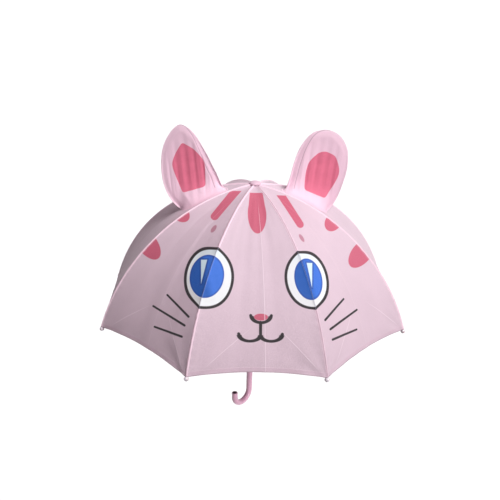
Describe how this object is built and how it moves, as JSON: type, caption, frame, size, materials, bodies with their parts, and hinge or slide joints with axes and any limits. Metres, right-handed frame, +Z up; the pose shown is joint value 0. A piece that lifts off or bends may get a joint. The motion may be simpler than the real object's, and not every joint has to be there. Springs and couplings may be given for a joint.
{
  "type": "children's umbrella",
  "caption": "Pink children's stick umbrella with a printed animal face, two stand-up fabric ears, a ribbed folding frame and a hooked handle.",
  "frame": {"origin": "middle of the straight hand grip, on the shaft's axis", "axes": "+Z up the shaft to the crown, -Y the way the face looks, +X to the right of someone looking at the face"},
  "size_m": [0.6568, 0.6568, 0.6785],
  "materials": {
    "canopy_cloth": "fine woven polyester, slight sheen, printed face",
    "ear_cloth": "pink polyester with a coral inner panel",
    "pink_plastic": "glossy",
    "white_plastic": "satin",
    "tip_plastic": "glossy, slightly milky",
    "shaft_steel": "plated",
    "rib_steel": "plated, dull",
    "wire_steel": "bare wire",
    "spring_steel": "spring steel"
  },
  "bodies": {
    "stick": {"shaft_tube": "shaft_steel", "crown_notch": "white_plastic", "crown_wire": "wire_steel", "top_cap": "pink_plastic", "handle": "pink_plastic"},
    "top_catch": {"top_catch": "spring_steel"},
    "bottom_catch": {"bottom_catch": "spring_steel"},
    "runner": {"runner": "white_plastic", "runner_wire": "wire_steel"},
    "rib_inner_1": {"rib_inner_1": "rib_steel"},
    "rib_outer_1": {"rib_outer_1": "rib_steel", "rib_tip_1": "tip_plastic"},
    "stretcher_1": {"stretcher_1": "rib_steel"},
    "gore_upper_1": {"gore_upper_1": "canopy_cloth"},
    "gore_lower_1": {"gore_lower_1": "canopy_cloth"},
    "rib_inner_2": {"rib_inner_2": "rib_steel"},
    "rib_outer_2": {"rib_outer_2": "rib_steel", "rib_tip_2": "tip_plastic"},
    "stretcher_2": {"stretcher_2": "rib_steel"},
    "gore_upper_2": {"gore_upper_2": "canopy_cloth"},
    "gore_lower_2": {"gore_lower_2": "canopy_cloth"},
    "rib_inner_3": {"rib_inner_3": "rib_steel"},
    "rib_outer_3": {"rib_outer_3": "rib_steel", "rib_tip_3": "tip_plastic"},
    "stretcher_3": {"stretcher_3": "rib_steel"},
    "gore_upper_3": {"gore_upper_3": "canopy_cloth", "ear_right": "ear_cloth"},
    "gore_lower_3": {"gore_lower_3": "canopy_cloth"},
    "rib_inner_4": {"rib_inner_4": "rib_steel"},
    "rib_outer_4": {"rib_outer_4": "rib_steel", "rib_tip_4": "tip_plastic"},
    "stretcher_4": {"stretcher_4": "rib_steel"},
    "gore_upper_4": {"gore_upper_4": "canopy_cloth"},
    "gore_lower_4": {"gore_lower_4": "canopy_cloth"},
    "rib_inner_5": {"rib_inner_5": "rib_steel"},
    "rib_outer_5": {"rib_outer_5": "rib_steel", "rib_tip_5": "tip_plastic"},
    "stretcher_5": {"stretcher_5": "rib_steel"},
    "gore_upper_5": {"gore_upper_5": "canopy_cloth"},
    "gore_lower_5": {"gore_lower_5": "canopy_cloth"},
    "rib_inner_6": {"rib_inner_6": "rib_steel"},
    "rib_outer_6": {"rib_outer_6": "rib_steel", "rib_tip_6": "tip_plastic"},
    "stretcher_6": {"stretcher_6": "rib_steel"},
    "gore_upper_6": {"gore_upper_6": "canopy_cloth"},
    "gore_lower_6": {"gore_lower_6": "canopy_cloth"},
    "rib_inner_7": {"rib_inner_7": "rib_steel"},
    "rib_outer_7": {"rib_outer_7": "rib_steel", "rib_tip_7": "tip_plastic"},
    "stretcher_7": {"stretcher_7": "rib_steel"},
    "gore_upper_7": {"gore_upper_7": "canopy_cloth", "ear_left": "ear_cloth"},
    "gore_lower_7": {"gore_lower_7": "canopy_cloth"},
    "rib_inner_8": {"rib_inner_8": "rib_steel"},
    "rib_outer_8": {"rib_outer_8": "rib_steel", "rib_tip_8": "tip_plastic"},
    "stretcher_8": {"stretcher_8": "rib_steel"},
    "gore_upper_8": {"gore_upper_8": "canopy_cloth"},
    "gore_lower_8": {"gore_lower_8": "canopy_cloth"}
  },
  "joints": [
    {"name": "fold_1", "type": "hinge", "parent": "stick", "child": "rib_inner_1", "pos_m": [-0.00268, -0.00647, 0.48], "axis": [0.9239, -0.3827, 0], "range_deg": [0, 66]},
    {"name": "rib_flex_1", "type": "hinge", "parent": "rib_inner_1", "child": "rib_outer_1", "pos_m": [-0.07751, -0.18713, 0.40466], "axis": [0.9239, -0.3827, 0], "range_deg": [-31.07, 0]},
    {"name": "stretcher_turn_1", "type": "hinge", "parent": "rib_inner_1", "child": "stretcher_1", "pos_m": [-0.07454, -0.17996, 0.40408], "axis": [0.9239, -0.3827, 0], "range_deg": [-132.05, 0]},
    {"name": "gore_fold_1", "type": "hinge", "parent": "stick", "child": "gore_upper_1", "pos_m": [0, -0.00647, 0.48], "axis": [1, 0, 0], "range_deg": [0, 64.33], "deforming": ["gore_upper_1"]},
    {"name": "gore_bend_1", "type": "hinge", "parent": "gore_upper_1", "child": "gore_lower_1", "pos_m": [0, -0.18833, 0.40644], "axis": [1, 0, 0], "range_deg": [-31.73, 0], "deforming": ["gore_lower_1"]},
    {"name": "fold_2", "type": "hinge", "parent": "stick", "child": "rib_inner_2", "pos_m": [0.00268, -0.00647, 0.48], "axis": [0.9239, 0.3827, 0], "range_deg": [0, 66]},
    {"name": "rib_flex_2", "type": "hinge", "parent": "rib_inner_2", "child": "rib_outer_2", "pos_m": [0.07751, -0.18713, 0.40466], "axis": [0.9239, 0.3827, 0], "range_deg": [-31.07, 0]},
    {"name": "stretcher_turn_2", "type": "hinge", "parent": "rib_inner_2", "child": "stretcher_2", "pos_m": [0.07454, -0.17996, 0.40408], "axis": [0.9239, 0.3827, 0], "range_deg": [-132.05, 0]},
    {"name": "gore_fold_2", "type": "hinge", "parent": "stick", "child": "gore_upper_2", "pos_m": [0.00457, -0.00457, 0.48], "axis": [0.7071, 0.7071, 0], "range_deg": [0, 64.33], "deforming": ["gore_upper_2"]},
    {"name": "gore_bend_2", "type": "hinge", "parent": "gore_upper_2", "child": "gore_lower_2", "pos_m": [0.13317, -0.13317, 0.40644], "axis": [0.7071, 0.7071, 0], "range_deg": [-31.73, 0], "deforming": ["gore_lower_2"]},
    {"name": "fold_3", "type": "hinge", "parent": "stick", "child": "rib_inner_3", "pos_m": [0.00647, -0.00268, 0.48], "axis": [0.3827, 0.9239, 0], "range_deg": [0, 66]},
    {"name": "rib_flex_3", "type": "hinge", "parent": "rib_inner_3", "child": "rib_outer_3", "pos_m": [0.18713, -0.07751, 0.40466], "axis": [0.3827, 0.9239, 0], "range_deg": [-31.07, 0]},
    {"name": "stretcher_turn_3", "type": "hinge", "parent": "rib_inner_3", "child": "stretcher_3", "pos_m": [0.17996, -0.07454, 0.40408], "axis": [0.3827, 0.9239, 0], "range_deg": [-132.05, 0]},
    {"name": "gore_fold_3", "type": "hinge", "parent": "stick", "child": "gore_upper_3", "pos_m": [0.00647, 0, 0.48], "axis": [0, 1, 0], "range_deg": [0, 64.33], "deforming": ["gore_upper_3"]},
    {"name": "gore_bend_3", "type": "hinge", "parent": "gore_upper_3", "child": "gore_lower_3", "pos_m": [0.18833, 0, 0.40644], "axis": [0, 1, 0], "range_deg": [-31.73, 0], "deforming": ["gore_lower_3"]},
    {"name": "fold_4", "type": "hinge", "parent": "stick", "child": "rib_inner_4", "pos_m": [0.00647, 0.00268, 0.48], "axis": [-0.3827, 0.9239, 0], "range_deg": [0, 66]},
    {"name": "rib_flex_4", "type": "hinge", "parent": "rib_inner_4", "child": "rib_outer_4", "pos_m": [0.18713, 0.07751, 0.40466], "axis": [-0.3827, 0.9239, 0], "range_deg": [-31.07, 0]},
    {"name": "stretcher_turn_4", "type": "hinge", "parent": "rib_inner_4", "child": "stretcher_4", "pos_m": [0.17996, 0.07454, 0.40408], "axis": [-0.3827, 0.9239, 0], "range_deg": [-132.05, 0]},
    {"name": "gore_fold_4", "type": "hinge", "parent": "stick", "child": "gore_upper_4", "pos_m": [0.00457, 0.00457, 0.48], "axis": [-0.7071, 0.7071, 0], "range_deg": [0, 64.33], "deforming": ["gore_upper_4"]},
    {"name": "gore_bend_4", "type": "hinge", "parent": "gore_upper_4", "child": "gore_lower_4", "pos_m": [0.13317, 0.13317, 0.40644], "axis": [-0.7071, 0.7071, 0], "range_deg": [-31.73, 0], "deforming": ["gore_lower_4"]},
    {"name": "fold_5", "type": "hinge", "parent": "stick", "child": "rib_inner_5", "pos_m": [0.00268, 0.00647, 0.48], "axis": [-0.9239, 0.3827, 0], "range_deg": [0, 66]},
    {"name": "rib_flex_5", "type": "hinge", "parent": "rib_inner_5", "child": "rib_outer_5", "pos_m": [0.07751, 0.18713, 0.40466], "axis": [-0.9239, 0.3827, 0], "range_deg": [-31.07, 0]},
    {"name": "stretcher_turn_5", "type": "hinge", "parent": "rib_inner_5", "child": "stretcher_5", "pos_m": [0.07454, 0.17996, 0.40408], "axis": [-0.9239, 0.3827, 0], "range_deg": [-132.05, 0]},
    {"name": "gore_fold_5", "type": "hinge", "parent": "stick", "child": "gore_upper_5", "pos_m": [0, 0.00647, 0.48], "axis": [-1, 0, 0], "range_deg": [0, 64.33], "deforming": ["gore_upper_5"]},
    {"name": "gore_bend_5", "type": "hinge", "parent": "gore_upper_5", "child": "gore_lower_5", "pos_m": [0, 0.18833, 0.40644], "axis": [-1, 0, 0], "range_deg": [-31.73, 0], "deforming": ["gore_lower_5"]},
    {"name": "fold_6", "type": "hinge", "parent": "stick", "child": "rib_inner_6", "pos_m": [-0.00268, 0.00647, 0.48], "axis": [-0.9239, -0.3827, 0], "range_deg": [0, 66]},
    {"name": "rib_flex_6", "type": "hinge", "parent": "rib_inner_6", "child": "rib_outer_6", "pos_m": [-0.07751, 0.18713, 0.40466], "axis": [-0.9239, -0.3827, 0], "range_deg": [-31.07, 0]},
    {"name": "stretcher_turn_6", "type": "hinge", "parent": "rib_inner_6", "child": "stretcher_6", "pos_m": [-0.07454, 0.17996, 0.40408], "axis": [-0.9239, -0.3827, 0], "range_deg": [-132.05, 0]},
    {"name": "gore_fold_6", "type": "hinge", "parent": "stick", "child": "gore_upper_6", "pos_m": [-0.00457, 0.00457, 0.48], "axis": [-0.7071, -0.7071, 0], "range_deg": [0, 64.33], "deforming": ["gore_upper_6"]},
    {"name": "gore_bend_6", "type": "hinge", "parent": "gore_upper_6", "child": "gore_lower_6", "pos_m": [-0.13317, 0.13317, 0.40644], "axis": [-0.7071, -0.7071, 0], "range_deg": [-31.73, 0], "deforming": ["gore_lower_6"]},
    {"name": "fold_7", "type": "hinge", "parent": "stick", "child": "rib_inner_7", "pos_m": [-0.00647, 0.00268, 0.48], "axis": [-0.3827, -0.9239, 0], "range_deg": [0, 66]},
    {"name": "rib_flex_7", "type": "hinge", "parent": "rib_inner_7", "child": "rib_outer_7", "pos_m": [-0.18713, 0.07751, 0.40466], "axis": [-0.3827, -0.9239, 0], "range_deg": [-31.07, 0]},
    {"name": "stretcher_turn_7", "type": "hinge", "parent": "rib_inner_7", "child": "stretcher_7", "pos_m": [-0.17996, 0.07454, 0.40408], "axis": [-0.3827, -0.9239, 0], "range_deg": [-132.05, 0]},
    {"name": "gore_fold_7", "type": "hinge", "parent": "stick", "child": "gore_upper_7", "pos_m": [-0.00647, 0, 0.48], "axis": [0, -1, 0], "range_deg": [0, 64.33], "deforming": ["gore_upper_7"]},
    {"name": "gore_bend_7", "type": "hinge", "parent": "gore_upper_7", "child": "gore_lower_7", "pos_m": [-0.18833, 0, 0.40644], "axis": [0, -1, 0], "range_deg": [-31.73, 0], "deforming": ["gore_lower_7"]},
    {"name": "fold_8", "type": "hinge", "parent": "stick", "child": "rib_inner_8", "pos_m": [-0.00647, -0.00268, 0.48], "axis": [0.3827, -0.9239, 0], "range_deg": [0, 66]},
    {"name": "rib_flex_8", "type": "hinge", "parent": "rib_inner_8", "child": "rib_outer_8", "pos_m": [-0.18713, -0.07751, 0.40466], "axis": [0.3827, -0.9239, 0], "range_deg": [-31.07, 0]},
    {"name": "stretcher_turn_8", "type": "hinge", "parent": "rib_inner_8", "child": "stretcher_8", "pos_m": [-0.17996, -0.07454, 0.40408], "axis": [0.3827, -0.9239, 0], "range_deg": [-132.05, 0]},
    {"name": "gore_fold_8", "type": "hinge", "parent": "stick", "child": "gore_upper_8", "pos_m": [-0.00457, -0.00457, 0.48], "axis": [0.7071, -0.7071, 0], "range_deg": [0, 64.33], "deforming": ["gore_upper_8"]},
    {"name": "gore_bend_8", "type": "hinge", "parent": "gore_upper_8", "child": "gore_lower_8", "pos_m": [-0.13317, -0.13317, 0.40644], "axis": [0.7071, -0.7071, 0], "range_deg": [-31.73, 0], "deforming": ["gore_lower_8"]},
    {"name": "runner_ride", "type": "hinge", "parent": "stretcher_1", "child": "runner", "pos_m": [-0.00268, -0.00647, 0.32816], "axis": [0.9239, -0.3827, 0], "range_deg": [0, 66.05]},
    {"name": "top_catch_press", "type": "slide", "parent": "stick", "child": "top_catch", "axis": [-1, 0, 0], "range_m": [0, 0.0018], "stiffness_N_per_m": 400},
    {"name": "bottom_catch_press", "type": "slide", "parent": "stick", "child": "bottom_catch", "axis": [-1, 0, 0], "range_m": [0, 0.0018], "stiffness_N_per_m": 400}
  ],
  "couplings": [
    {"joint": "rib_flex_1", "follows": "fold_1", "ratio": -0.47},
    {"joint": "stretcher_turn_1", "follows": "fold_1", "ratio": -2},
    {"joint": "gore_fold_1", "follows": "fold_1", "ratio": 0.974},
    {"joint": "gore_bend_1", "follows": "fold_1", "ratio": -0.48},
    {"joint": "fold_2", "follows": "fold_1", "ratio": 1},
    {"joint": "rib_flex_2", "follows": "fold_1", "ratio": -0.47},
    {"joint": "stretcher_turn_2", "follows": "fold_1", "ratio": -2},
    {"joint": "gore_fold_2", "follows": "fold_1", "ratio": 0.974},
    {"joint": "gore_bend_2", "follows": "fold_1", "ratio": -0.48},
    {"joint": "fold_3", "follows": "fold_1", "ratio": 1},
    {"joint": "rib_flex_3", "follows": "fold_1", "ratio": -0.47},
    {"joint": "stretcher_turn_3", "follows": "fold_1", "ratio": -2},
    {"joint": "gore_fold_3", "follows": "fold_1", "ratio": 0.974},
    {"joint": "gore_bend_3", "follows": "fold_1", "ratio": -0.48},
    {"joint": "fold_4", "follows": "fold_1", "ratio": 1},
    {"joint": "rib_flex_4", "follows": "fold_1", "ratio": -0.47},
    {"joint": "stretcher_turn_4", "follows": "fold_1", "ratio": -2},
    {"joint": "gore_fold_4", "follows": "fold_1", "ratio": 0.974},
    {"joint": "gore_bend_4", "follows": "fold_1", "ratio": -0.48},
    {"joint": "fold_5", "follows": "fold_1", "ratio": 1},
    {"joint": "rib_flex_5", "follows": "fold_1", "ratio": -0.47},
    {"joint": "stretcher_turn_5", "follows": "fold_1", "ratio": -2},
    {"joint": "gore_fold_5", "follows": "fold_1", "ratio": 0.974},
    {"joint": "gore_bend_5", "follows": "fold_1", "ratio": -0.48},
    {"joint": "fold_6", "follows": "fold_1", "ratio": 1},
    {"joint": "rib_flex_6", "follows": "fold_1", "ratio": -0.47},
    {"joint": "stretcher_turn_6", "follows": "fold_1", "ratio": -2},
    {"joint": "gore_fold_6", "follows": "fold_1", "ratio": 0.974},
    {"joint": "gore_bend_6", "follows": "fold_1", "ratio": -0.48},
    {"joint": "fold_7", "follows": "fold_1", "ratio": 1},
    {"joint": "rib_flex_7", "follows": "fold_1", "ratio": -0.47},
    {"joint": "stretcher_turn_7", "follows": "fold_1", "ratio": -2},
    {"joint": "gore_fold_7", "follows": "fold_1", "ratio": 0.974},
    {"joint": "gore_bend_7", "follows": "fold_1", "ratio": -0.48},
    {"joint": "fold_8", "follows": "fold_1", "ratio": 1},
    {"joint": "rib_flex_8", "follows": "fold_1", "ratio": -0.47},
    {"joint": "stretcher_turn_8", "follows": "fold_1", "ratio": -2},
    {"joint": "gore_fold_8", "follows": "fold_1", "ratio": 0.974},
    {"joint": "gore_bend_8", "follows": "fold_1", "ratio": -0.48},
    {"joint": "runner_ride", "follows": "fold_1", "ratio": 1}
  ]
}
